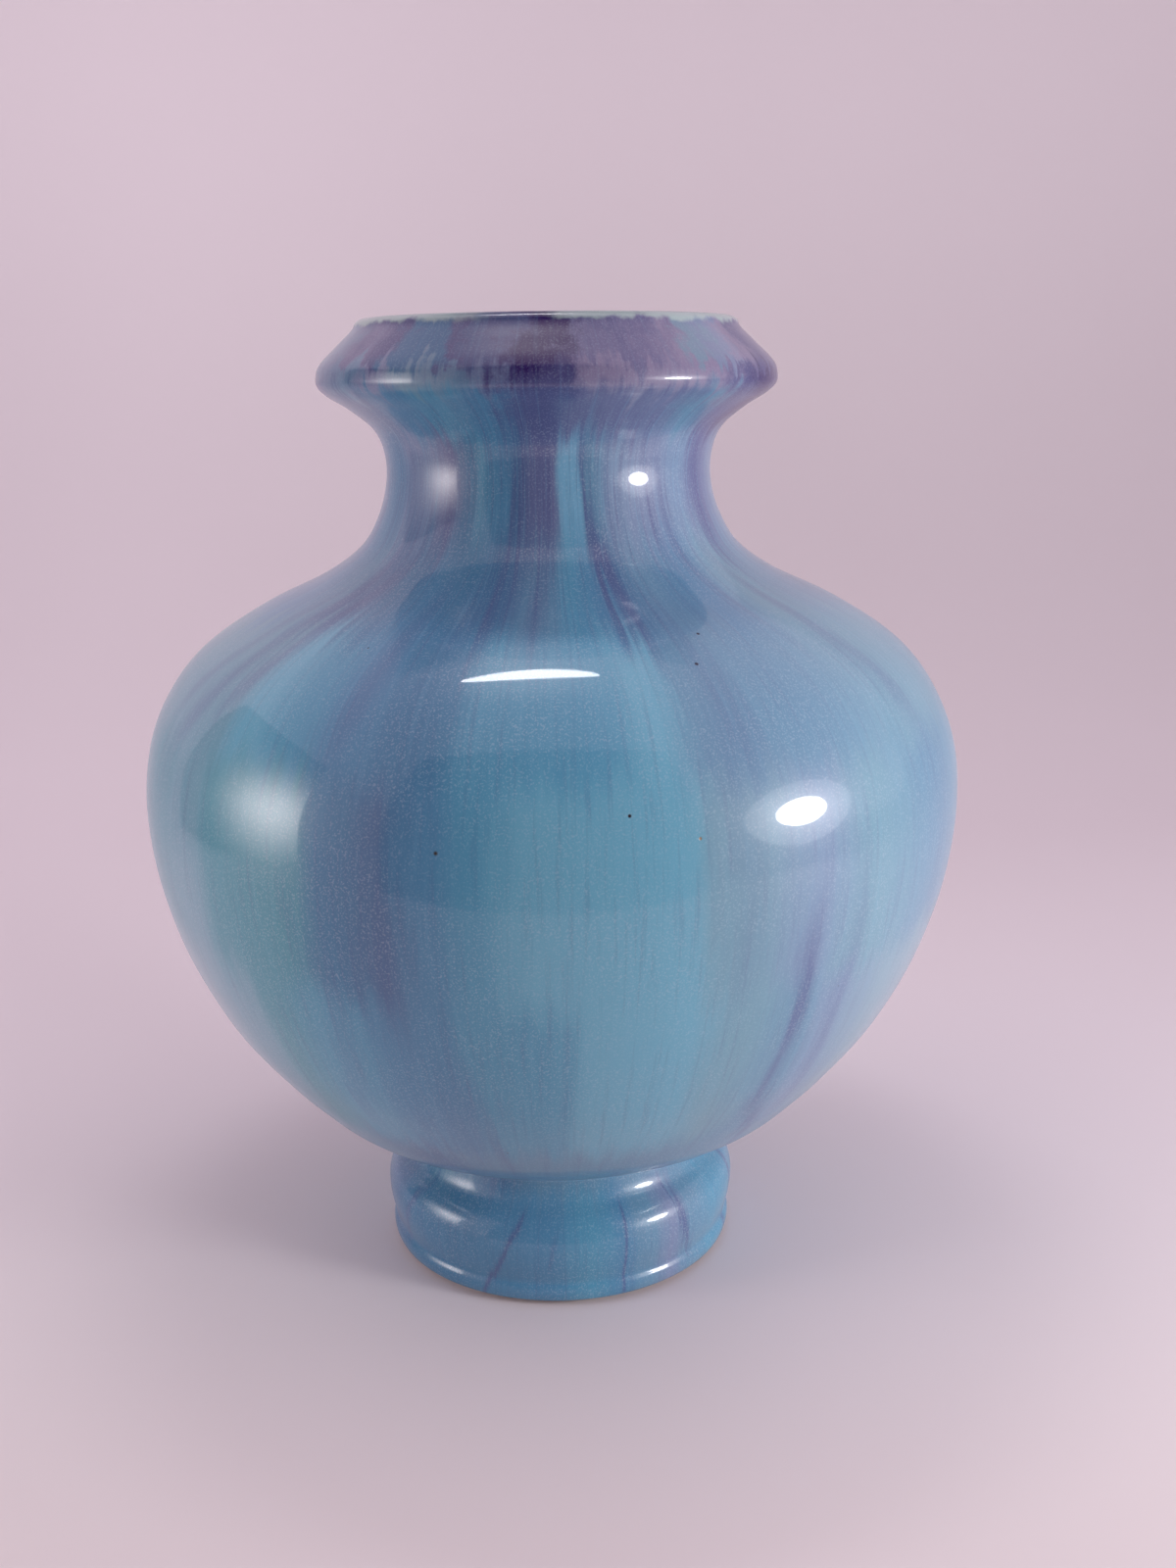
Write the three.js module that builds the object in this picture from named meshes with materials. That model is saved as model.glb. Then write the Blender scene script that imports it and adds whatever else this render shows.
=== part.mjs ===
// Stoneware vase: a wheel-thrown body in five clay sections, luted end to end with slip,
// covered outside with a thick flowing glaze and lined inside with a thin one.
// Millimetres, +Z up. The origin is the centre of the foot's contact ring, on the table.

import * as THREE from "three";

// ---- driving dimensions -------------------------------------------------------------
const SEGMENTS = 36;            // facets round every turned piece
const STEPS_PER_SPAN = 1;       // straight steps between two outline points
const GLAZE_THICKNESS = 0.8;    // outer glaze, thick and runny
const LINER_THICKNESS = 0.5;    // glaze inside
const CLEARANCE = 0.3;          // gap between pieces that touch
const SLIP_THICKNESS = 0.6;     // slip left in a luted joint
const GLAZE_LINE = 1.6;         // bare clay wiped clean above the table

// Heights of the luted joints
const FOOT_JOINT = 26.4;
const BELLY_JOINT = 114.5;
const NECK_JOINT = 172.5;
const COLLAR_JOINT = 198.5;

// Foot ring: flat contact ring and the hollow inside it
const CONTACT_INNER_RADIUS = 34.6;
const RECESS_TOP_RADIUS = 26;
const CONTACT_CHAMFER = 0.8;

// The turned outline of the finished outside, [radius, height], from the table to the lip
const OUTSIDE = [
  // foot: rounded toe, shallow groove, drum, and a deep cove under the belly
  [40.7, 0], [42.2, 1.3], [42.8, 3.1], [42.7, 4.6], [42.1, 5.8], [42.3, 7.2], [43, 9.8], [43.5, 12.8],
  [43.5, 16], [42.5, 19], [40.7, 21.2], [37.7, 23.6], [36.2, 26.8], [36, 30.4],
  // swelling body: flat underside, widest at the belly joint
  [40.5, 33.8], [48, 36.2], [54.2, 38.9], [60.1, 43], [65, 48], [70.6, 54.3], [80, 67],
  [87.7, 82.5], [92.6, 98.5], [94.6, 114.5],
  // shoulder
  [93.4, 128.5], [88.7, 140.5], [80.6, 150.5], [67, 159.4], [52.9, 166.1],
  // neck
  [43.8, 172.5], [39.4, 179.5], [37.4, 186.5], [37.4, 193], [39.5, 198.5],
  // collar: bevelled above, rolled over at its edge, with a rounded lip
  [44.6, 202.9], [49.6, 206], [51.7, 208.1], [51.9, 210.3], [50.9, 212.9], [46.9, 216.9],
  [43.6, 220.1], [42.7, 221.7], [40.8, 222.5], [38, 221.6],
];

// The finished inside, [radius, height], from the lip down to the middle of the floor
const INSIDE = [
  [36.5, 219.9], [37.4, 215.5], [40, 210.5], [39.8, 206.1], [35.8, 201.9], [32.8, 197.5],
  [31, 190.5], [31.6, 183.5], [35.6, 176], [43.7, 168.1], [57, 158.9], [71, 149.6],
  [80.2, 140], [86.2, 128.5], [88.4, 114.5], [86.5, 98.5], [81.4, 82.5], [73.2, 67.5],
  [62, 55], [48.4, 44], [33, 36.1], [16, 32.9], [0, 32.3],
];

// ---- outline helpers ----------------------------------------------------------------
// A smooth curve through the points
function smooth(points) {
  const curve = new THREE.SplineCurve(points.map(([r, z]) => new THREE.Vector2(r, z)));
  return curve.getPoints((points.length - 1) * STEPS_PER_SPAN);
}

// The line moved sideways, to its left as it is walked
function offset(line, distance) {
  return line.map((point, i) => {
    const before = line[Math.max(i - 1, 0)];
    const after = line[Math.min(i + 1, line.length - 1)];
    const along = after.clone().sub(before).normalize();
    return new THREE.Vector2(Math.max(point.x - along.y * distance, 0), point.y + along.x * distance);
  });
}

// Where the line first crosses a height, and the index of the point that follows
function crossing(line, height) {
  const next = line.findIndex((point, i) => i > 0 && (line[i - 1].y - height) * (point.y - height) <= 0);
  const [a, b] = [line[next - 1], line[next]];
  return { next, point: a.clone().lerp(b, (height - a.y) / (b.y - a.y)) };
}

// The part of an upward line above a height
function above(line, height) {
  const { next, point } = crossing(line, height);
  return [point, ...line.slice(next).filter((p) => p.distanceTo(point) > 0.05)];
}

// The part of an upward line below a height
function below(line, height) {
  const { next, point } = crossing(line, height);
  return [...line.slice(0, next).filter((p) => p.distanceTo(point) > 0.05), point];
}

const finishedOutside = smooth(OUTSIDE);
const finishedInside = smooth(INSIDE).reverse();                  // floor to lip
const clayOutside = offset(finishedOutside, GLAZE_THICKNESS + CLEARANCE);
const clayInside = offset(finishedInside, -(LINER_THICKNESS + CLEARANCE));

// ---- materials ----------------------------------------------------------------------
const stoneware = new THREE.MeshStandardMaterial({ color: 0xa08a74, roughness: 0.85, metalness: 0 });
const slip = new THREE.MeshStandardMaterial({ color: 0xb8a48c, roughness: 0.9, metalness: 0 });
const flambeGlaze = new THREE.MeshStandardMaterial({ color: 0x4f8fa8, roughness: 0.12, metalness: 0 });
const celadonGlaze = new THREE.MeshStandardMaterial({ color: 0x9fc4b8, roughness: 0.2, metalness: 0 });

// ---- pieces -------------------------------------------------------------------------
// A turned piece from a closed outline walked outside-up, inside-down
function turned(name, outline, material) {
  const closed = [...outline];
  const onAxis = outline[0].x === 0 && outline[outline.length - 1].x === 0;
  if (!onAxis) closed.push(outline[0].clone());
  const geometry = new THREE.LatheGeometry(closed, SEGMENTS);
  const mesh = new THREE.Mesh(geometry, material);
  mesh.name = name;
  mesh.rotation.x = Math.PI / 2;
  return mesh;
}

// Thrown wall between two joints, open at the top and at the bottom
function wallSection(name, bottom, top) {
  const low = bottom + SLIP_THICKNESS / 2 + CLEARANCE;
  const high = top - SLIP_THICKNESS / 2 - CLEARANCE;
  const outer = below(above(clayOutside, low), high);
  const inner = below(above(clayInside, low), high);
  return turned(name, [...outer, ...inner.reverse()], stoneware);
}

// Foot ring, thrown on its own: a flat contact ring, hollow inside
function footRing() {
  const top = FOOT_JOINT - SLIP_THICKNESS / 2 - CLEARANCE;
  const outer = below(clayOutside, top);
  const contactOuterRadius = outer[0].x - CONTACT_CHAMFER;
  const outline = [
    new THREE.Vector2(contactOuterRadius, 0),
    new THREE.Vector2(outer[0].x, CONTACT_CHAMFER),
    ...outer.slice(1),
    new THREE.Vector2(RECESS_TOP_RADIUS, top),
    new THREE.Vector2(CONTACT_INNER_RADIUS - CONTACT_CHAMFER, CONTACT_CHAMFER * 2),
    new THREE.Vector2(CONTACT_INNER_RADIUS, 0),
  ];
  return turned("foot_ring", outline, stoneware);
}

// Lower body: a bowl with the vase's floor, from the foot joint to the belly joint
function lowerBody() {
  const underside = FOOT_JOINT + SLIP_THICKNESS / 2 + CLEARANCE;
  const rim = BELLY_JOINT - SLIP_THICKNESS / 2 - CLEARANCE;
  const outer = below(above(clayOutside, underside), rim);
  const inner = below(clayInside, rim);
  const axisUnderside = new THREE.Vector2(0, underside);
  return turned("lower_body", [axisUnderside, ...outer, ...inner.reverse()], stoneware);
}

// Rim collar: the bevelled ring that carries the lip
function rimCollar() {
  const low = COLLAR_JOINT + SLIP_THICKNESS / 2 + CLEARANCE;
  const outer = above(clayOutside, low);
  const inner = above(clayInside, low);
  return turned("rim_collar", [...outer, ...inner.reverse()], stoneware);
}

// Slip squeezed out flat in a luted joint
function slipSeam(name, joint, innerRadius) {
  const low = joint - SLIP_THICKNESS / 2;
  const high = joint + SLIP_THICKNESS / 2;
  const outerRadius = Math.min(crossing(clayOutside, low).point.x, crossing(clayOutside, high).point.x);
  const outline = [
    new THREE.Vector2(innerRadius, low),
    new THREE.Vector2(outerRadius, low),
    new THREE.Vector2(outerRadius, high),
    new THREE.Vector2(innerRadius, high),
  ];
  return turned(name, outline, slip);
}

// Inner radius of a joint between two open sections
function boreAt(joint) {
  return Math.max(
    crossing(clayInside, joint - SLIP_THICKNESS / 2).point.x,
    crossing(clayInside, joint + SLIP_THICKNESS / 2).point.x,
  );
}

// Outer glaze: a thin coat from the glaze line up and over the lip
function outerGlaze() {
  const face = above(finishedOutside, GLAZE_LINE);
  const back = above(offset(finishedOutside, GLAZE_THICKNESS), GLAZE_LINE);
  return turned("outer_glaze", [...face, ...back.reverse()], flambeGlaze);
}

// Liner glaze: a thin coat over the floor and up the inside to the lip
function linerGlaze() {
  const back = offset(finishedInside, -LINER_THICKNESS);
  back[0] = new THREE.Vector2(0, finishedInside[0].y - LINER_THICKNESS);
  return turned("liner_glaze", [...back, ...[...finishedInside].reverse()], celadonGlaze);
}

const vase = new THREE.Group();
vase.add(
  footRing(),
  slipSeam("foot_joint_slip", FOOT_JOINT, RECESS_TOP_RADIUS),
  lowerBody(),
  slipSeam("belly_joint_slip", BELLY_JOINT, boreAt(BELLY_JOINT)),
  wallSection("upper_body", BELLY_JOINT, NECK_JOINT),
  slipSeam("neck_joint_slip", NECK_JOINT, boreAt(NECK_JOINT)),
  wallSection("neck", NECK_JOINT, COLLAR_JOINT),
  slipSeam("collar_joint_slip", COLLAR_JOINT, boreAt(COLLAR_JOINT)),
  rimCollar(),
  outerGlaze(),
  linerGlaze(),
);

export default vase;
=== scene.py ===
# The looks of the stoneware vase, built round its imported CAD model. Metres, +Z up; lengths below are
# in millimetres where a name says so, and angles are degrees round the vase from its front (-Y),
# counted towards +X.
import bpy
import math
from mathutils import Matrix, Vector


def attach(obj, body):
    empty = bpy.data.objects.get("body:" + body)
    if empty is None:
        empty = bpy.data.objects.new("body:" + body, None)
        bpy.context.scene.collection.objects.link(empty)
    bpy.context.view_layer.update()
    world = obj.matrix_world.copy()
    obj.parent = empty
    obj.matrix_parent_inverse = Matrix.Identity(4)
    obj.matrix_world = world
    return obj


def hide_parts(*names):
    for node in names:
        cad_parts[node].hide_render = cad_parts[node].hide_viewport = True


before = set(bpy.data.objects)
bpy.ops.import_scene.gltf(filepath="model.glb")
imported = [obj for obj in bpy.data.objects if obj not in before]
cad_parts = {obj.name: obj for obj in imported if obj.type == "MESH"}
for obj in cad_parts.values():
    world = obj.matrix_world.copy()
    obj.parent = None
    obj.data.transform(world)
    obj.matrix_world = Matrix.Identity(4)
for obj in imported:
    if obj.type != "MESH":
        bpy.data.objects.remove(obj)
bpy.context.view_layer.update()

MM = 0.001

# ---- driving dimensions, mm ---------------------------------------------------------------------
GLAZE_THICKNESS = 1.05         # outer coat, down to just off the clay
LINER_THICKNESS = 0.75
CLAY_DEPTH = 1.1               # clay face behind the finished outside
LINER_DEPTH = 0.8              # clay face behind the finished inside
GLAZE_LINE = 1.6               # bare clay wiped clean above the table
JOINT_GAP = 0.6                # between two clay sections
SLIP_THICKNESS = 0.5           # slip left in the gap
FOOT_JOINT = 26.4
BELLY_JOINT = 114.5
NECK_JOINT = 172.5
COLLAR_JOINT = 198.5
CONTACT_INNER_RADIUS = 34.6
RECESS_TOP_RADIUS = 26
CONTACT_ROUND = 0.8            # round edges of the contact ring

# The turned outline of the finished outside, (radius, height), from the table to the lip
OUTSIDE = [
    # foot: rounded toe, shallow groove, drum, and a deep cove under the belly
    (40.7, 0), (42.2, 1.3), (42.8, 3.1), (42.7, 4.6), (42.1, 5.8), (42.3, 7.2), (43, 9.8), (43.5, 12.8),
    (43.5, 16), (42.5, 19), (40.7, 21.2), (37.7, 23.6), (36.2, 26.8), (36, 30.4),
    # swelling body: flat underside, widest at the belly joint
    (40.5, 33.8), (48, 36.2), (54.2, 38.9), (60.1, 43), (65, 48), (70.6, 54.3), (80, 67),
    (87.7, 82.5), (92.6, 98.5), (94.6, 114.5),
    # shoulder
    (93.4, 128.5), (88.7, 140.5), (80.6, 150.5), (67, 159.4), (52.9, 166.1),
    # neck
    (43.8, 172.5), (39.4, 179.5), (37.4, 186.5), (37.4, 193), (39.5, 198.5),
    # collar: bevelled above, rolled over at its edge, with a rounded lip
    (44.6, 202.9), (49.6, 206), (51.7, 208.1), (51.9, 210.3), (50.9, 212.9), (46.9, 216.9),
    (43.6, 220.1), (42.7, 221.7), (40.8, 222.5), (38, 221.6),
]

# The finished inside, (radius, height), from the lip down to the middle of the floor
INSIDE = [
    (36.5, 219.9), (37.4, 215.5), (40, 210.5), (39.8, 206.1), (35.8, 201.9), (32.8, 197.5),
    (31, 190.5), (31.6, 183.5), (35.6, 176), (43.7, 168.1), (57, 158.9), (71, 149.6),
    (80.2, 140), (86.2, 128.5), (88.4, 114.5), (86.5, 98.5), (81.4, 82.5), (73.2, 67.5),
    (62, 55), (48.4, 44), (33, 36.1), (16, 32.9), (0, 32.3),
]


# ---- outline helpers ----------------------------------------------------------------------------
def smooth(points, steps):
    """Catmull-Rom curve through the points, the curve that the CAD outline follows."""
    last = len(points) - 1
    line = []
    for i in range(last):
        a, b, c, d = (Vector(points[min(max(k, 0), last)]) for k in (i - 1, i, i + 1, i + 2))
        for step in range(steps):
            t = step / steps
            curve = 2 * b + (c - a) * t + (2 * a - 5 * b + 4 * c - d) * t ** 2
            line.append((curve + (3 * b - a - 3 * c + d) * t ** 3) / 2)
    return line + [Vector(points[last])]


def offset(line, distance):
    """The line moved sideways, to its left as it is walked."""
    moved = []
    for i, point in enumerate(line):
        along = (line[min(i + 1, len(line) - 1)] - line[max(i - 1, 0)]).normalized()
        moved.append(Vector((max(point.x - along.y * distance, 0), point.y + along.x * distance)))
    return moved


def crossing(line, height):
    """Where an upward line first crosses a height, and the index of the point that follows."""
    for i in range(1, len(line)):
        a, b = line[i - 1], line[i]
        if (a.y - height) * (b.y - height) <= 0:
            return i, a.lerp(b, (height - a.y) / (b.y - a.y))
    raise ValueError(f"the line doesn't reach {height}")


def above(line, height):
    i, point = crossing(line, height)
    return [point] + [p for p in line[i:] if (p - point).length > 0.02]


def below(line, height):
    i, point = crossing(line, height)
    return [p for p in line[:i] if (p - point).length > 0.02] + [point]


def rounded(corner, before, after, radius, steps=5):
    """A round edge in place of a corner, as a quadratic curve."""
    corner, before, after = Vector(corner), Vector(before), Vector(after)
    start = corner + (before - corner).normalized() * radius
    end = corner + (after - corner).normalized() * radius
    arc = []
    for step in range(steps + 1):
        t = step / steps
        arc.append(start * (1 - t) ** 2 + corner * 2 * t * (1 - t) + end * t ** 2)
    return arc


FINE = 6                       # steps between two outline points
outside = smooth(OUTSIDE, FINE)
inside = smooth(INSIDE, FINE)[::-1]
clay_outside = offset(outside, CLAY_DEPTH)
clay_inside = offset(inside, -LINER_DEPTH)


# ---- turned meshes ------------------------------------------------------------------------------
ON_AXIS = 1e-6                  # a radius below this is on the axis
FULL_WOBBLE_RADIUS = 30         # the wobble fades out from here to the axis
GLAZE_SEGMENTS = 256
SEGMENTS = 128


def hand_wobble(angle, height):
    """How far the wheel-thrown wall is out of round, mm: always inwards, and nothing at the table."""
    lift = min(height / 40, 1)
    wave = math.sin(2 * angle + 0.9 + height / 60) + 0.5 * math.sin(3 * angle - 1.1 + height / 35)
    rings = 0.35 * math.sin(height / 3.1 + angle) * math.sin(height / 17)
    return -0.16 - lift * 0.1 * (wave + rings + 1)


def turned(name, outline, segments, material, replaces):
    """A closed piece turned from an outline walked outside-up, inside-down."""
    vertices, faces, columns = [], [], []
    for s in range(segments):
        angle = 2 * math.pi * s / segments
        column = []
        for i, point in enumerate(outline):
            if point.x < ON_AXIS and s > 0:
                column.append(columns[0][i])
                continue
            radius = point.x + hand_wobble(angle, point.y) * min(point.x / FULL_WOBBLE_RADIUS, 1)
            column.append(len(vertices))
            x, y = radius * math.sin(angle), -radius * math.cos(angle)
            vertices.append((x * MM, y * MM, point.y * MM))
        columns.append(column)
    count = len(outline)
    closed = outline[0].x > ON_AXIS or outline[-1].x > ON_AXIS
    for s in range(segments):
        here, there = columns[s], columns[(s + 1) % segments]
        for i in range(count if closed else count - 1):
            k = (i + 1) % count
            face = [here[i], there[i], there[k], here[k]]
            face = [v for n, v in enumerate(face) if v not in face[:n]]
            if len(face) > 2:
                faces.append(face)
    mesh = bpy.data.meshes.new(name)
    mesh.from_pydata(vertices, [], faces)
    mesh.validate()
    mesh.polygons.foreach_set("use_smooth", [True] * len(mesh.polygons))
    piece = bpy.data.objects.new(name, mesh)
    bpy.context.collection.objects.link(piece)
    mesh.materials.append(material)
    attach(piece, "root")
    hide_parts(replaces)
    return piece


# ---- node helpers -------------------------------------------------------------------------------
class Nodes:
    """A short way to write node trees: values and sockets go in, sockets come out."""

    def __init__(self, tree):
        self.tree = tree

    def add(self, kind, **settings):
        node = self.tree.nodes.new(kind)
        for key, value in settings.items():
            setattr(node, key, value)
        return node

    def plug(self, socket, value):
        if isinstance(value, bpy.types.NodeSocket):
            self.tree.links.new(value, socket)
        elif value is not None:
            socket.default_value = value

    def math(self, operation, *values):
        node = self.add("ShaderNodeMath", operation=operation)
        for socket, value in zip(node.inputs, values):
            self.plug(socket, value)
        return node.outputs[0]

    def times(self, a, b):
        return self.math("MULTIPLY", a, b)

    def plus(self, a, b):
        return self.math("ADD", a, b)

    def place(self):
        return self.add("ShaderNodeTexCoord").outputs["Object"]

    def split(self, vector):
        node = self.add("ShaderNodeSeparateXYZ")
        self.plug(node.inputs[0], vector)
        return node.outputs

    def vector(self, x, y, z):
        node = self.add("ShaderNodeCombineXYZ")
        for socket, value in zip(node.inputs, (x, y, z)):
            self.plug(socket, value)
        return node.outputs[0]

    def noise(self, vector, scale, detail=2.0, roughness=0.5):
        node = self.add("ShaderNodeTexNoise")
        self.plug(node.inputs["Vector"], vector)
        for key, value in (("Scale", scale), ("Detail", detail), ("Roughness", roughness)):
            node.inputs[key].default_value = value
        return node.outputs["Fac"]

    def fade(self, value, low, high, start=0.0, end=1.0):
        """Smooth step from start, at low, to end, at high."""
        node = self.add("ShaderNodeMapRange", interpolation_type="SMOOTHSTEP")
        for socket, number in zip(node.inputs, (value, low, high, start, end)):
            self.plug(socket, number)
        return node.outputs[0]

    def mix(self, amount, a, b, blend="MIX"):
        node = self.add("ShaderNodeMix", data_type="RGBA", blend_type=blend, clamp_factor=True)
        self.plug(node.inputs[0], amount)
        self.plug(node.inputs[6], a)
        self.plug(node.inputs[7], b)
        return node.outputs[2]

    def ramp(self, value, stops):
        node = self.add("ShaderNodeValToRGB")
        self.plug(node.inputs[0], value)
        ramp = node.color_ramp
        ramp.interpolation = "EASE"
        for i, (position, colour) in enumerate(stops):
            stop = ramp.elements[i] if i < 2 else ramp.elements.new(position)
            stop.position = position
            stop.color = colour
        return node.outputs[0]

    def group(self, tree, *values):
        node = self.add("ShaderNodeGroup", node_tree=tree)
        for socket, value in zip(node.inputs, values):
            self.plug(socket, value)
        return node.outputs


def rgb(hex_colour):
    """A linear colour from a hex one."""
    parts = [int(hex_colour[i:i + 2], 16) / 255 for i in (0, 2, 4)]
    return (*[c / 12.92 if c <= 0.04045 else ((c + 0.055) / 1.055) ** 2.4 for c in parts], 1.0)


def new_material(name, roughness):
    material = bpy.data.materials.new(name)
    material.use_nodes = True
    nodes = Nodes(material.node_tree)
    shader = material.node_tree.nodes["Principled BSDF"]
    shader.inputs["Roughness"].default_value = roughness
    return material, nodes, shader


def bump(nodes, shader, height, distance_mm, strength):
    node = nodes.add("ShaderNodeBump")
    node.inputs["Strength"].default_value = strength
    node.inputs["Distance"].default_value = distance_mm * MM
    nodes.plug(node.inputs["Height"], height)
    nodes.plug(shader.inputs["Normal"], node.outputs[0])


# ---- places on the vase -------------------------------------------------------------------------
def group_tree(name, inputs, outputs):
    tree = bpy.data.node_groups.new(name, "ShaderNodeTree")
    for label in inputs:
        tree.interface.new_socket(label, in_out="INPUT", socket_type="NodeSocketFloat")
    for label in outputs:
        tree.interface.new_socket(label, in_out="OUTPUT", socket_type="NodeSocketFloat")
    nodes = Nodes(tree)
    return tree, nodes, nodes.add("NodeGroupInput").outputs[:len(inputs)], nodes.add("NodeGroupOutput").inputs


def run_group():
    """How strongly one vertical run of glaze covers a place: soft sides, soft ends, a slight lean."""
    inputs = ("angle", "height", "centre", "half width", "low", "high", "soft end", "lean")
    tree, nodes, (angle, height, centre, width, low, high, soft, lean), result = group_tree(
        "glaze_run", inputs, ("cover",))
    middle = nodes.times(nodes.plus(low, high), 0.5)
    shift = nodes.times(nodes.math("SUBTRACT", height, middle), lean)
    away = nodes.math("SUBTRACT", angle, nodes.plus(centre, shift))
    away = nodes.math("WRAP", away, 180.0, -180.0)
    across = nodes.math("DIVIDE", away, width)
    side = nodes.math("EXPONENT", nodes.times(nodes.times(across, across), -1.0))
    bottom = nodes.fade(height, nodes.math("SUBTRACT", low, soft), nodes.plus(low, soft))
    top = nodes.fade(height, nodes.math("SUBTRACT", high, soft), nodes.plus(high, soft), 1.0, 0.0)
    nodes.plug(result[0], nodes.times(side, nodes.times(bottom, top)))
    return tree


# ---- flowing outer glaze ------------------------------------------------------------------------
TURQUOISE = rgb("72b0c8")
AQUA = rgb("7db3d0")
SEA = rgb("5699ab")
TEAL = rgb("5b9cba")
BLUE = rgb("578db1")
DEEP = rgb("4a80a5")
INDIGO = rgb("52779e")
STEEL = rgb("6c96b2")
MIST = rgb("7aa4b7")
PALE = rgb("88a9ba")
SLATE = rgb("7f99b7")
HAZE = rgb("828fb0")
LILAC = rgb("9292ae")
MAUVE = rgb("74799f")
PURPLE = rgb("59608f")
AUBERGINE = rgb("2f1162")
CELADON = rgb("a3b8b6")
MILK = rgb("b9cbda")
GLAZE_DEPTH = (0.89, 0.95, 0.95, 1.0)
COLLAR_DEPTH = (0.84, 0.70, 0.76, 1.0)
AUBERGINE_FROM = 0.72           # runs stronger than this are aubergine, the others purple

# Colour round the vase at a few heights, mm: (height, height, [(angle, colour), ...]). Between two
# bands the colour changes gradually.
BANDS = [
    (0, 22, [
        (-180, BLUE), (-120, TEAL), (-75, INDIGO), (-55, DEEP), (-40, DEEP), (-18, BLUE), (-5, BLUE),
        (10, TEAL), (20, BLUE), (29, STEEL), (38, HAZE), (46, STEEL), (60, TEAL), (110, BLUE), (180, BLUE),
    ]),
    (30, 48, [
        (-180, STEEL), (-90, MIST), (-50, MIST), (-38, STEEL), (-24, INDIGO), (-12, STEEL), (2, STEEL),
        (20, STEEL), (34, STEEL), (60, STEEL), (120, MIST), (180, STEEL),
    ]),
    (58, 88, [
        (-180, TEAL), (-150, STEEL), (-120, INDIGO), (-95, SEA), (-60, PALE), (-46, MIST), (-40, SEA),
        (-30, TEAL), (-22, BLUE), (-15, BLUE), (-9, TEAL), (-2, TEAL), (4, TURQUOISE), (14, TURQUOISE),
        (24, MIST), (33, STEEL), (39, SLATE), (52, PALE), (70, MIST), (90, TURQUOISE), (120, STEEL),
        (150, TEAL), (180, TEAL),
    ]),
    (100, 132, [
        (-180, TEAL), (-150, TURQUOISE), (-120, DEEP), (-90, SEA), (-66, SEA), (-52, MIST), (-46, SEA),
        (-35, SEA), (-29, DEEP), (-21, INDIGO), (-15, BLUE), (-9, TEAL), (-3, TURQUOISE), (5, TURQUOISE),
        (14, TURQUOISE), (21, MIST), (33, SLATE), (42, MIST), (60, STEEL), (80, TURQUOISE), (110, BLUE),
        (140, SEA), (180, TEAL),
    ]),
    (142, 156, [
        (-180, TEAL), (-130, MIST), (-95, SEA), (-58, MIST), (-50, MIST), (-43, TURQUOISE), (-37, TEAL),
        (-29, BLUE), (-17, DEEP), (-9, TEAL), (4, TEAL), (13, TURQUOISE), (20, STEEL), (32, STEEL),
        (60, MIST), (100, TEAL), (140, MIST), (180, TEAL),
    ]),
    (164, 168, [
        (-180, DEEP), (-140, TEAL), (-100, DEEP), (-70, BLUE), (-56, STEEL), (-48, INDIGO), (-38, DEEP),
        (-31, BLUE), (-20, DEEP), (-12, INDIGO), (-3, STEEL), (5, TEAL), (11, BLUE), (16, INDIGO),
        (24, STEEL), (38, BLUE), (52, MIST), (70, STEEL), (110, DEEP), (150, TEAL), (180, DEEP),
    ]),
    (184, 194, [
        (-180, HAZE), (-150, BLUE), (-120, SLATE), (-90, INDIGO), (-62, DEEP), (-52, HAZE), (-43, HAZE),
        (-34, MAUVE), (-27, DEEP), (-23, TEAL), (-15, BLUE), (-9, INDIGO), (-4, MAUVE), (2, MAUVE),
        (5, AQUA), (9, AQUA), (13, STEEL), (20, SLATE), (34, HAZE), (46, SLATE), (58, MAUVE), (80, SLATE),
        (110, TEAL), (150, HAZE), (180, HAZE),
    ]),
    (202, 205, [
        (-180, INDIGO), (-120, DEEP), (-56, INDIGO), (-44, BLUE), (-30, TEAL), (-16, BLUE), (-8, PURPLE),
        (1, PURPLE), (8, MAUVE), (16, MAUVE), (30, MAUVE), (42, STEEL), (54, PURPLE), (70, AUBERGINE),
        (110, DEEP), (180, INDIGO),
    ]),
    (209, 211, [
        (-180, LILAC), (-120, MIST), (-80, PURPLE), (-55, STEEL), (-44, HAZE), (-33, MIST), (-22, STEEL),
        (-13, SLATE), (-6, PURPLE), (1, PURPLE), (10, LILAC), (24, LILAC), (40, LILAC), (52, PURPLE),
        (62, AUBERGINE), (90, MAUVE), (140, LILAC), (180, LILAC),
    ]),
    (214, 219, [
        (-180, MAUVE), (-140, STEEL), (-100, PURPLE), (-70, STEEL), (-52, MAUVE), (-44, PURPLE),
        (-37, DEEP), (-27, DEEP), (-21, PURPLE), (-15, INDIGO), (-9, PURPLE), (-3, AUBERGINE),
        (3, AUBERGINE), (9, MAUVE), (22, MAUVE), (33, LILAC), (40, MIST), (48, SLATE), (56, LILAC),
        (66, PURPLE), (90, MAUVE), (130, STEEL), (180, MAUVE),
    ]),
]

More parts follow.
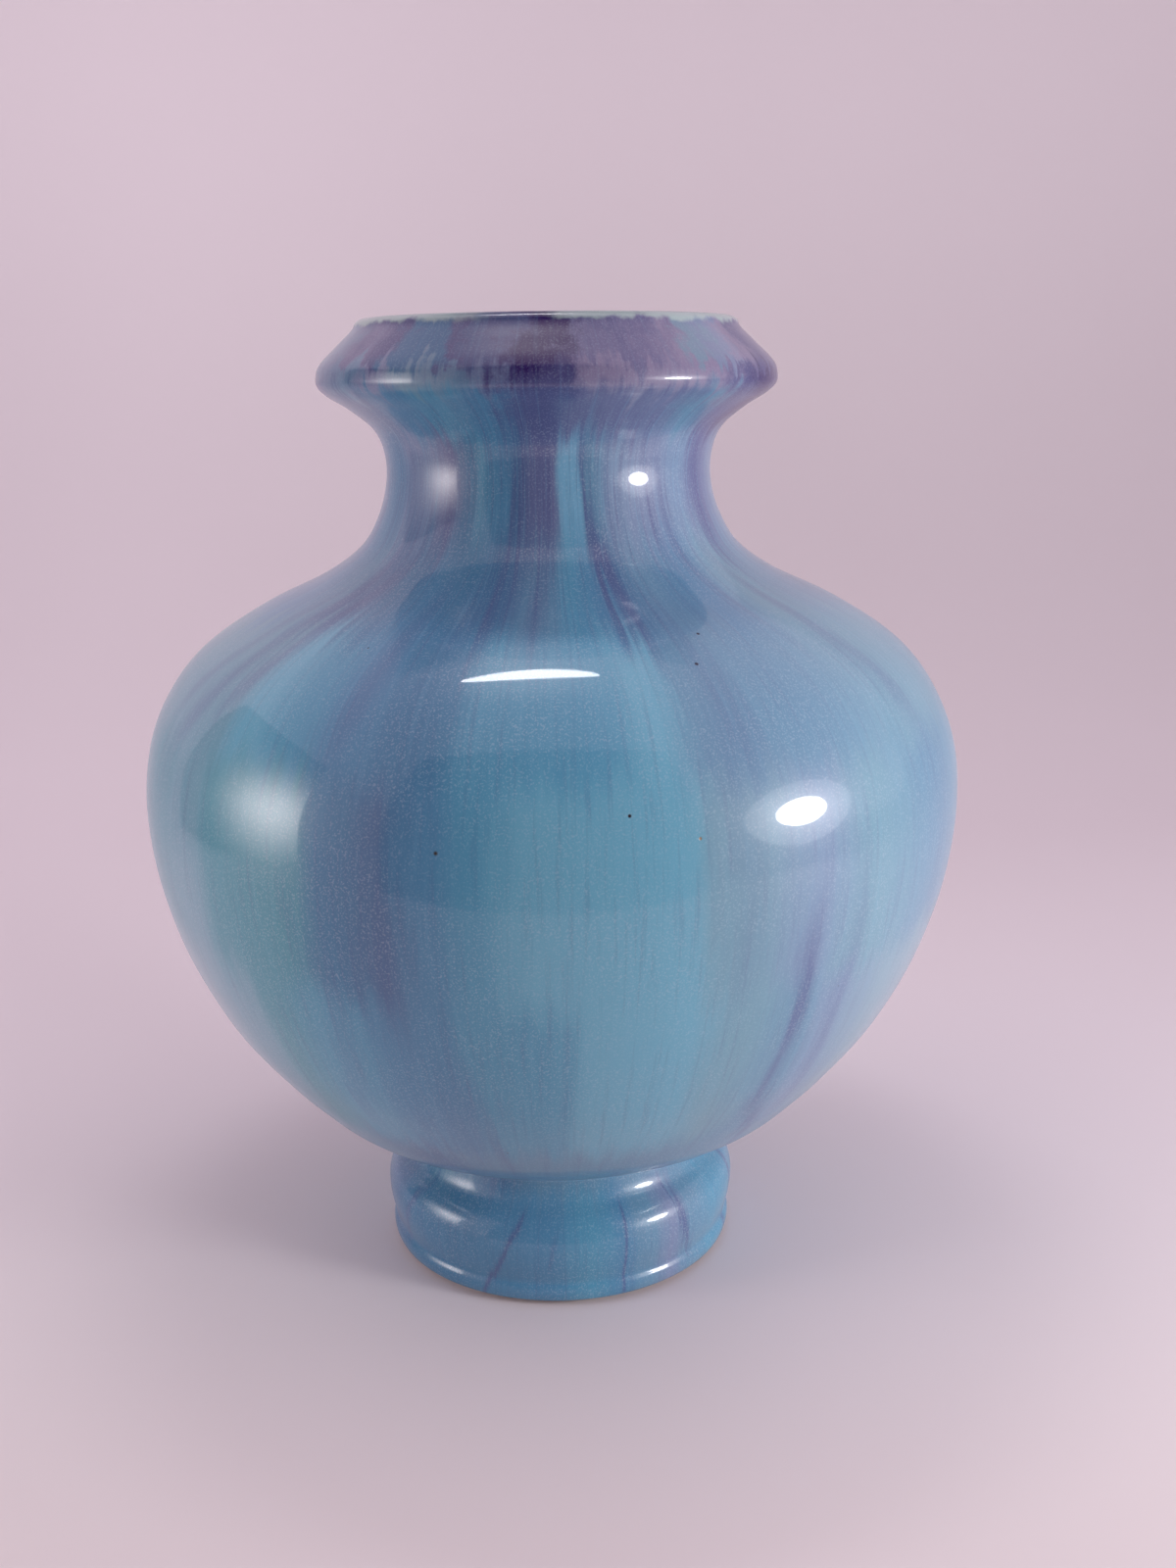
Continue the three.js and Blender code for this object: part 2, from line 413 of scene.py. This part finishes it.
# Runs of purple over those colours: angle, half width, lowest, highest, soft end, lean, strength
RUNS = [
    # collar
    (-2, 6.0, 208, 226, 4, 0.0, 0.9), (-2, 5.5, 200, 211, 4, 0.0, 0.6), (-14, 4.5, 211, 226, 4, 0.3, 0.7),
    (-43, 4.5, 215, 220, 2, 1.2, 0.7), (14, 9.0, 217, 220, 2, 0.0, 0.55), (60, 5.0, 202, 213, 4, 0.0, 0.5),
    (33, 3.0, 217, 220, 2, 0.8, 0.4),
    # neck
    (-6, 3.4, 176, 208, 12, 0.04, 0.4), (-8, 1.2, 164, 200, 8, 0.04, 0.5),
    (-3, 1.3, 160, 200, 8, 0.03, 0.5), (-0.5, 1.4, 170, 206, 7, 0.0, 0.5),
    (-12, 1.0, 158, 190, 8, 0.1, 0.45), (12.2, 1.7, 168, 199, 7, -0.1, 0.7),
    (14.8, 1.7, 156, 176, 6, -0.1, 0.6), (19, 1.0, 176, 206, 8, 0.0, 0.4),
    (33, 1.1, 172, 198, 6, -0.15, 0.45), (58, 3.0, 170, 206, 10, -0.15, 0.6),
    (24, 1.0, 180, 205, 6, 0.1, 0.35), (-33, 1.8, 176, 200, 8, 0.05, 0.4),
    (40, 1.2, 160, 190, 8, -0.2, 0.35),
    # shoulder
    (-46, 2.2, 146, 174, 8, 0.35, 0.45), (-55, 2.6, 138, 170, 8, 0.35, 0.4),
    (-62, 1.5, 140, 165, 8, 0.3, 0.3), (55, 2.5, 140, 172, 9, -0.2, 0.3),
    (24, 1.6, 140, 168, 9, -0.1, 0.25), (-28, 1.6, 140, 166, 8, 0.1, 0.3),
    # belly
    (-20, 2.4, 86, 112, 12, 0.0, 0.3), (-14, 3.0, 48, 76, 10, 0.0, 0.16), (-10, 1.4, 44, 72, 8, 0.0, 0.3),
    (22, 2.4, 96, 150, 14, 0.0, 0.22), (32, 1.3, 58, 108, 10, 0.0, 0.5), (32.5, 0.9, 80, 98, 5, 0.0, 0.5),
    (36, 1.6, 44, 62, 6, -0.25, 0.45), (41, 1.6, 60, 118, 14, 0.0, 0.25), (-30, 1.5, 60, 100, 14, 0.0, 0.2),
    # foot
    (-20, 1.0, 1, 22, 2, 0.6, 0.7), (20, 0.9, 1, 22, 2, 0.1, 0.65), (43, 1.2, 7, 24, 2, -0.35, 0.7),
    (-58, 1.6, 6, 22, 3, 0.6, 0.5), (-3, 0.7, 8, 18, 2, 0.3, 0.3), (75, 1.6, 2, 24, 3, 0.3, 0.6),
    # round the back
    (-150, 2.0, 60, 130, 20, 0.05, 0.4), (-118, 3.0, 90, 160, 18, 0.1, 0.4),
    (118, 2.2, 70, 150, 20, -0.05, 0.4), (150, 3.0, 40, 90, 16, 0.0, 0.4),
    (170, 4.0, 160, 226, 12, 0.05, 0.6), (-100, 3.0, 165, 214, 12, 0.1, 0.5),
    (95, 2.5, 160, 212, 12, -0.1, 0.5), (-130, 7.0, 206, 226, 6, 0.0, 0.6),
    (120, 6.0, 208, 226, 6, 0.0, 0.6),
]

# Pinholes burst in the glaze, and specks: angle, height, size mm, colour
PINHOLES = [
    (-13.5, 126, 1.05, rgb("3c2c16")), (-3.8, 124, 0.65, rgb("1c2840")), (8.5, 132.5, 0.75, rgb("2c1218")),
    (16.6, 127.5, 0.7, rgb("a08f78")), (22.5, 156, 0.8, rgb("141e34")), (26.4, 160.4, 0.7, rgb("182440")),
    (-32, 158.6, 0.6, rgb("2c4a5e")), (-9, 53.7, 0.7, rgb("2e4a5c")), (39, 90, 0.5, rgb("3c4c60")),
]


def banded(nodes, flow, edge):
    """The colours of the bands, blended one into the next."""
    share = nodes.plus(nodes.math("DIVIDE", nodes.math("WRAP", flow, 180.0, -180.0), 360.0), 0.5)
    colour, last_high = None, None
    for low, high, stops in BANDS:
        here = nodes.ramp(share, [(a / 360 + 0.5, c) for a, c in stops])
        colour = nodes.mix(nodes.fade(edge, last_high, low), colour, here) if colour else here
        last_high = high
    return colour


def with_runs(nodes, colour, run, flow, edge):
    for centre, width, low, high, soft, lean, strength in RUNS:
        cover = nodes.group(run, flow, edge, centre, width, low, high, soft, lean)[0]
        deep = AUBERGINE if strength > AUBERGINE_FROM else PURPLE
        colour = nodes.mix(nodes.times(cover, strength), colour, deep)
    return colour


def with_hairs(nodes, colour, hairs, height):
    """Hairs of darker and lighter glaze, strongest round the neck."""
    strong = nodes.fade(height, 150.0, 185.0, 0.35, 0.85)
    strong = nodes.times(strong, nodes.fade(height, 202.0, 210.0, 1.0, 0.45))
    colour = nodes.mix(nodes.times(nodes.fade(hairs, 0.0, 0.22, 0.0, 0.6), strong), colour, PURPLE)
    return nodes.mix(nodes.times(nodes.fade(hairs, 0.0, -0.22, 0.0, 0.35), strong), colour, AQUA)


def with_pale_lip(nodes, colour, run, flow, height):
    """The lip, where the glaze has run thin, crossed by the purple."""
    lip = nodes.fade(height, 220.6, 221.8)
    crossed = nodes.group(run, flow, 220.0, -9.0, 12.0, 200.0, 240.0, 5.0, 0.0)[0]
    lip = nodes.times(lip, nodes.math("SUBTRACT", 0.9, nodes.times(crossed, 0.9)))
    return nodes.mix(lip, colour, CELADON)


def with_speckle(nodes, colour, place, collar):
    """Milky micro-speckle in soft clouds, thinner on the collar."""
    speckle = nodes.noise(place, 2600.0, 1.0, 0.5)
    clouds = nodes.noise(place, 45.0, 3.0, 0.6)
    grains = nodes.times(nodes.fade(speckle, 0.5, 0.72, 0.0, 0.28), nodes.fade(clouds, 0.3, 0.6, 0.4, 1.0))
    grains = nodes.times(grains, nodes.math("SUBTRACT", 1.0, nodes.times(collar, 0.6)))
    return nodes.mix(grains, colour, MILK)


def with_pinholes(nodes, colour, place):
    """The colour with the pinholes in it, and a height in which they are dimples."""
    surface = nodes.times(nodes.noise(place, 260.0, 2.0), 0.02)
    for angle, up, size, tint in PINHOLES:
        radius, turn = crossing(outside, up)[1].x, math.radians(angle)
        middle = (radius * math.sin(turn), -radius * math.cos(turn), up)
        away = nodes.add("ShaderNodeVectorMath", operation="DISTANCE")
        nodes.plug(away.inputs[0], place)
        away.inputs[1].default_value = [c * MM for c in middle]
        hole = nodes.fade(away.outputs["Value"], size * 0.35 * MM, size * 0.65 * MM, 1.0, 0.0)
        colour = nodes.mix(hole, colour, tint)
        surface = nodes.math("SUBTRACT", surface, nodes.times(hole, 0.25))
    return colour, surface


def outer_glaze_material():
    material, nodes, shader = new_material("flambe_glaze", 0.32)
    place = nodes.place()
    x, y, z = nodes.split(place)
    height = nodes.math("DIVIDE", z, MM)
    turn = nodes.math("ARCTAN2", x, nodes.times(y, -1.0))

    def streaks(width, length, detail, roughness=0.6):
        """Noise about zero drawn out downwards: width in degrees, length in mm."""
        scale = math.degrees(1) / width
        down = nodes.times(height, 1 / (length * scale))
        spot = nodes.vector(nodes.math("SINE", turn), nodes.math("COSINE", turn), down)
        return nodes.math("SUBTRACT", nodes.noise(spot, scale, detail, roughness), 0.5)

    # on the collar the colours are mottled, further down they have run
    collar = nodes.fade(height, 199.0, 210.0)
    mottle = nodes.times(nodes.math("SUBTRACT", nodes.noise(place, 120.0, 4.0, 0.65), 0.5), collar)
    fine = streaks(2.4, 26.0, 3.0)
    sway = nodes.plus(nodes.times(streaks(11.0, 60.0, 2.0), 7.0), nodes.times(fine, 5.0))
    flow = nodes.plus(nodes.plus(nodes.math("DEGREES", turn), sway), nodes.times(mottle, 34.0))
    edge = nodes.plus(height, nodes.plus(nodes.times(fine, 16.0), nodes.times(mottle, 16.0)))

    run = run_group()
    colour = with_runs(nodes, banded(nodes, flow, edge), run, flow, edge)
    colour = with_hairs(nodes, colour, streaks(0.75, 24.0, 3.0, 0.7), height)
    # the coat is a little deeper than its colours, and redder on the collar
    colour = nodes.mix(1.0, colour, GLAZE_DEPTH, "MULTIPLY")
    colour = nodes.mix(nodes.fade(height, 205.0, 210.5), colour, COLLAR_DEPTH, "MULTIPLY")
    colour = with_pale_lip(nodes, colour, run, flow, nodes.plus(height, nodes.times(mottle, 5.0)))
    colour = with_speckle(nodes, colour, place, collar)
    colour, surface = with_pinholes(nodes, colour, place)
    nodes.plug(shader.inputs["Base Color"], colour)

    shader.inputs["Specular IOR Level"].default_value = 0.3
    shader.inputs["Coat Weight"].default_value = 0.6
    shader.inputs["Coat Roughness"].default_value = 0.04
    shader.inputs["Coat IOR"].default_value = 1.5
    bump(nodes, shader, surface, 1.0, 0.35)
    return material


# ---- liner glaze, clay and slip -----------------------------------------------------------------
def liner_material():
    material, nodes, shader = new_material("liner_glaze", 0.22)
    place = nodes.place()
    cloud = nodes.noise(place, 60.0, 4.0, 0.6)
    colour = nodes.mix(nodes.fade(cloud, 0.35, 0.7), rgb("9dbdb4"), rgb("7fa6b0"))
    nodes.plug(shader.inputs["Base Color"], colour)
    shader.inputs["Coat Weight"].default_value = 0.8
    return material


def clay_material(name, light, dark):
    material, nodes, shader = new_material(name, 0.8)
    place = nodes.place()
    cloud = nodes.noise(place, 80.0, 4.0, 0.6)
    grit = nodes.noise(place, 1400.0, 2.0, 0.6)
    colour = nodes.mix(nodes.fade(cloud, 0.35, 0.65), light, dark)
    colour = nodes.mix(nodes.fade(grit, 0.62, 0.7, 0.0, 0.5), colour, rgb("4a3a2e"))
    nodes.plug(shader.inputs["Base Color"], colour)
    bump(nodes, shader, grit, 0.06, 0.6)
    return material


FLAMBE = outer_glaze_material()
LINER = liner_material()
STONEWARE = clay_material("stoneware_body", rgb("a08a74"), rgb("8a6f58"))
SLIP = clay_material("fired_slip", rgb("b8a48c"), rgb("a08a72"))


# ---- pieces -------------------------------------------------------------------------------------
def outer_glaze():
    face = above(outside, GLAZE_LINE)
    back = above(offset(outside, GLAZE_THICKNESS), GLAZE_LINE)
    return turned("glaze_coat", face + back[::-1], GLAZE_SEGMENTS, FLAMBE, "outer_glaze")


def liner_glaze():
    back = offset(inside, -LINER_THICKNESS)
    back[0] = Vector((0, inside[0].y - LINER_THICKNESS))
    return turned("liner_coat", back + inside[::-1], SEGMENTS, LINER, "liner_glaze")


def clay_section(node, bottom, top):
    low, high = bottom + JOINT_GAP / 2, top - JOINT_GAP / 2
    outer = below(above(clay_outside, low), high)
    inner = below(above(clay_inside, low), high)
    return turned(node + "_clay", outer + inner[::-1], SEGMENTS, STONEWARE, node)


def foot_ring():
    top = FOOT_JOINT - JOINT_GAP / 2
    outer = below(clay_outside, top)
    heel = Vector((outer[0].x, 0))
    toe = Vector((CONTACT_INNER_RADIUS, 0))
    recess = Vector((RECESS_TOP_RADIUS, top))
    outline = rounded(heel, toe, outer[3], CONTACT_ROUND) + outer[3:] + [recess]
    outline += rounded(toe, recess, heel, CONTACT_ROUND)
    return turned("foot_ring_clay", outline, SEGMENTS, STONEWARE, "foot_ring")


def lower_body():
    underside = FOOT_JOINT + JOINT_GAP / 2
    rim = BELLY_JOINT - JOINT_GAP / 2
    outer = below(above(clay_outside, underside), rim)
    inner = below(clay_inside, rim)
    outline = [Vector((0, underside))] + outer + inner[::-1]
    return turned("lower_body_clay", outline, SEGMENTS, STONEWARE, "lower_body")


def rim_collar():
    low = COLLAR_JOINT + JOINT_GAP / 2
    outline = above(clay_outside, low) + above(clay_inside, low)[::-1]
    return turned("rim_collar_clay", outline, SEGMENTS, STONEWARE, "rim_collar")


def slip_seam(node, joint, inner_radius):
    low, high = joint - SLIP_THICKNESS / 2, joint + SLIP_THICKNESS / 2
    outer = min(crossing(clay_outside, low)[1].x, crossing(clay_outside, high)[1].x)
    ring = [(inner_radius, low), (outer, low), (outer, high), (inner_radius, high)]
    return turned(node + "_ring", [Vector(p) for p in ring], SEGMENTS, SLIP, node)


def bore_at(joint):
    """Inner radius of a joint between two open sections."""
    faces = (joint - SLIP_THICKNESS / 2, joint + SLIP_THICKNESS / 2)
    return max(crossing(clay_inside, face)[1].x for face in faces)


foot_ring()
slip_seam("foot_joint_slip", FOOT_JOINT, RECESS_TOP_RADIUS)
lower_body()
slip_seam("belly_joint_slip", BELLY_JOINT, bore_at(BELLY_JOINT))
clay_section("upper_body", BELLY_JOINT, NECK_JOINT)
slip_seam("neck_joint_slip", NECK_JOINT, bore_at(NECK_JOINT))
clay_section("neck", NECK_JOINT, COLLAR_JOINT)
slip_seam("collar_joint_slip", COLLAR_JOINT, bore_at(COLLAR_JOINT))
rim_collar()
outer_glaze()
liner_glaze()


# ---- stage --------------------------------------------------------------------------------------
PAPER_DARK = rgb("d8d2d6")
PAPER_LIGHT = rgb("e0dade")
# painted shade, darker and warmer, laid on the paper towards its front edge
PAPER_FRONT_SHADE = (0.94, 0.90, 0.84, 1.0)
TENT = (0.84, 0.675, 0.775, 1.0)
TENT_OPENING = (0.04, 0.035, 0.045, 1.0)
WALL_GLOW = 9.5
# The tent's openings as slopes seen from the vase: middle, half size, soft edge
FRONT_ACROSS = (-0.11, 0.94, 0.06)
ROOF_ACROSS = (-0.03, 0.40, 0.05)
ROOF_ALONG = (0.74, 0.33, 0.04)
FRONT_TOP = (1.38, 1.58)        # where the front's soft upper edge starts and ends


def paper_material():
    material, nodes, shader = new_material("lilac_paper", 0.9)
    place = nodes.place()
    cloud = nodes.noise(place, 3.0, 2.0)
    shader.inputs["Specular IOR Level"].default_value = 0.2
    x, y, z = nodes.split(place)
    # painted shade: the paper is darker, and a little warmer, towards the front edge
    colour = nodes.mix(cloud, PAPER_DARK, PAPER_LIGHT)
    colour = nodes.mix(nodes.fade(y, -0.28, 0.12, 1.0, 0.0), colour, PAPER_FRONT_SHADE, "MULTIPLY")
    nodes.plug(shader.inputs["Base Color"], colour)
    # light that comes through the paper, more at the back and on the left
    through = nodes.plus(nodes.fade(z, 0.0, 0.45, 0.03, 0.22), nodes.fade(x, -0.30, 0.05, 0.07, 0.0))
    shader.inputs["Emission Color"].default_value = (1.0, 0.82, 0.93, 1.0)
    nodes.plug(shader.inputs["Emission Strength"], through)
    return material


def sweep():
    """One sheet of paper: a floor that curves up into the backdrop."""
    half_width, front, back, bend, top = 2.2, -0.38, 0.75, 0.40, 0.75
    section = [(front, 0.0), (back - bend, 0.0)]
    for step in range(1, 17):
        turn = math.pi / 2 * step / 16
        section.append((back - bend + bend * math.sin(turn), bend - bend * math.cos(turn)))
    section.append((back, top))
    vertices = [(x, y, z) for y, z in section for x in (-half_width, half_width)]
    faces = [(2 * i, 2 * i + 1, 2 * i + 3, 2 * i + 2) for i in range(len(section) - 1)]
    mesh = bpy.data.meshes.new("paper_sweep")
    mesh.from_pydata(vertices, [], faces)
    mesh.polygons.foreach_set("use_smooth", [True] * len(mesh.polygons))
    mesh.materials.append(paper_material())
    paper = bpy.data.objects.new("paper_sweep", mesh)
    bpy.context.collection.objects.link(paper)


def lamp(name, place, target, width, height, power, colour):
    """An oval lamp turned to its target, or straight down without one."""
    light = bpy.data.lights.new(name, "AREA")
    light.shape = "ELLIPSE"
    light.size = width
    light.size_y = height
    light.energy = power
    light.color = colour
    holder = bpy.data.objects.new(name, light)
    bpy.context.collection.objects.link(holder)
    holder.location = place
    if target:
        holder.rotation_euler = (Vector(target) - Vector(place)).to_track_quat("-Z", "Y").to_euler()


def tent_world():
    """A lilac photo tent: open in front, with a hole in its roof."""
    world = bpy.data.worlds.new("photo_tent")
    bpy.context.scene.world = world
    world.use_nodes = True
    nodes = Nodes(world.node_tree)
    shader = world.node_tree.nodes["Background"]
    x, y, z = nodes.split(nodes.add("ShaderNodeTexCoord").outputs["Generated"])

    def within(value, middle, half, soft):
        away = nodes.math("ABSOLUTE", nodes.math("SUBTRACT", value, middle))
        return nodes.fade(away, half - soft, half + soft, 1.0, 0.0)

    # the open front, a rectangle on an upright plane
    ahead = nodes.math("MAXIMUM", nodes.times(y, -1.0), 0.001)
    across, up = nodes.math("DIVIDE", x, ahead), nodes.math("DIVIDE", z, ahead)
    front = nodes.times(within(across, *FRONT_ACROSS), nodes.fade(up, *FRONT_TOP, 1.0, 0.0))
    colour = nodes.mix(front, TENT, TENT_OPENING)

    # the hole in the roof, a rectangle on a level plane
    above_us = nodes.math("MAXIMUM", z, 0.001)
    across, behind = nodes.math("DIVIDE", x, above_us), nodes.math("DIVIDE", y, above_us)
    roof = nodes.times(within(across, *ROOF_ACROSS), within(behind, *ROOF_ALONG))
    colour = nodes.mix(roof, colour, TENT_OPENING)

    # what the camera itself sees past the paper is plain
    seen = nodes.add("ShaderNodeLightPath").outputs["Is Camera Ray"]
    nodes.plug(shader.inputs["Color"], nodes.mix(seen, colour, TENT))


def lit_wall():
    """The tent's left wall, glowing where a lamp stands behind it; the camera doesn't see it."""
    x, y, z, reach_y, reach_z = -0.60, -0.185, 0.19, 0.15, 0.135
    low, high, front, back = 0.0, 0.5, -0.275, 0.25
    material = bpy.data.materials.new("lit_wall")
    material.use_nodes = True
    material.node_tree.nodes.clear()
    nodes = Nodes(material.node_tree)
    _, along, up = nodes.split(nodes.place())
    off_y = nodes.math("DIVIDE", nodes.math("SUBTRACT", along, y), reach_y)
    off_z = nodes.math("DIVIDE", nodes.math("SUBTRACT", up, z), reach_z)
    away = nodes.plus(nodes.times(off_y, off_y), nodes.times(off_z, off_z))
    glow = nodes.add("ShaderNodeEmission")
    glow.inputs["Color"].default_value = (1.0, 0.92, 0.93, 1.0)
    fall_off = nodes.math("EXPONENT", nodes.times(away, -1.0))
    nodes.plug(glow.inputs["Strength"], nodes.times(fall_off, WALL_GLOW))
    nodes.plug(nodes.add("ShaderNodeOutputMaterial").inputs["Surface"], glow.outputs[0])
    mesh = bpy.data.meshes.new("lit_wall")
    mesh.from_pydata([(x, front, low), (x, back, low), (x, back, high), (x, front, high)], [], [(0, 1, 2, 3)])
    mesh.materials.append(material)
    wall = bpy.data.objects.new("lit_wall", mesh)
    bpy.context.collection.objects.link(wall)
    wall.visible_camera = False
    wall.visible_shadow = False


def lights():
    belly = (0, 0, 0.12)
    lamp("right_lamp", (0.50, -0.26, 0.19), belly, 0.155, 0.115, 1.5, (1.0, 0.98, 1.0))
    lamp("right_lamp_halo", (0.51, -0.265, 0.19), belly, 0.34, 0.26, 0.45, (1.0, 0.98, 1.0))
    lamp("overhead_strip", (-0.033, 0.047, 0.60), None, 0.19, 0.028, 0.32, (1.0, 0.97, 1.0))
    lit_wall()
    tent_world()


def camera():
    """Close to the vase, a little under the lip's height, looking down at the belly."""
    pitch, yaw, roll = math.radians(14.64), math.radians(1.28), math.radians(-0.646)
    ahead = Vector((math.sin(yaw) * math.cos(pitch), math.cos(yaw) * math.cos(pitch), -math.sin(pitch)))
    right = Vector((math.cos(yaw), -math.sin(yaw), 0))
    up = right.cross(ahead)
    tilted_right = right * math.cos(roll) + up * math.sin(roll)
    tilted_up = up * math.cos(roll) - right * math.sin(roll)
    data = bpy.data.cameras.new("camera")
    data.lens = 36
    data.sensor_width = 36
    data.clip_start = 0.01
    holder = bpy.data.objects.new("camera", data)
    bpy.context.collection.objects.link(holder)
    turn = Matrix((tilted_right, tilted_up, -ahead)).transposed().to_4x4()
    holder.matrix_world = Matrix.Translation((0, -0.3651, 0.2102)) @ turn
    bpy.context.scene.camera = holder


sweep()
lights()
camera()
bpy.context.scene.view_settings.view_transform = "Standard"
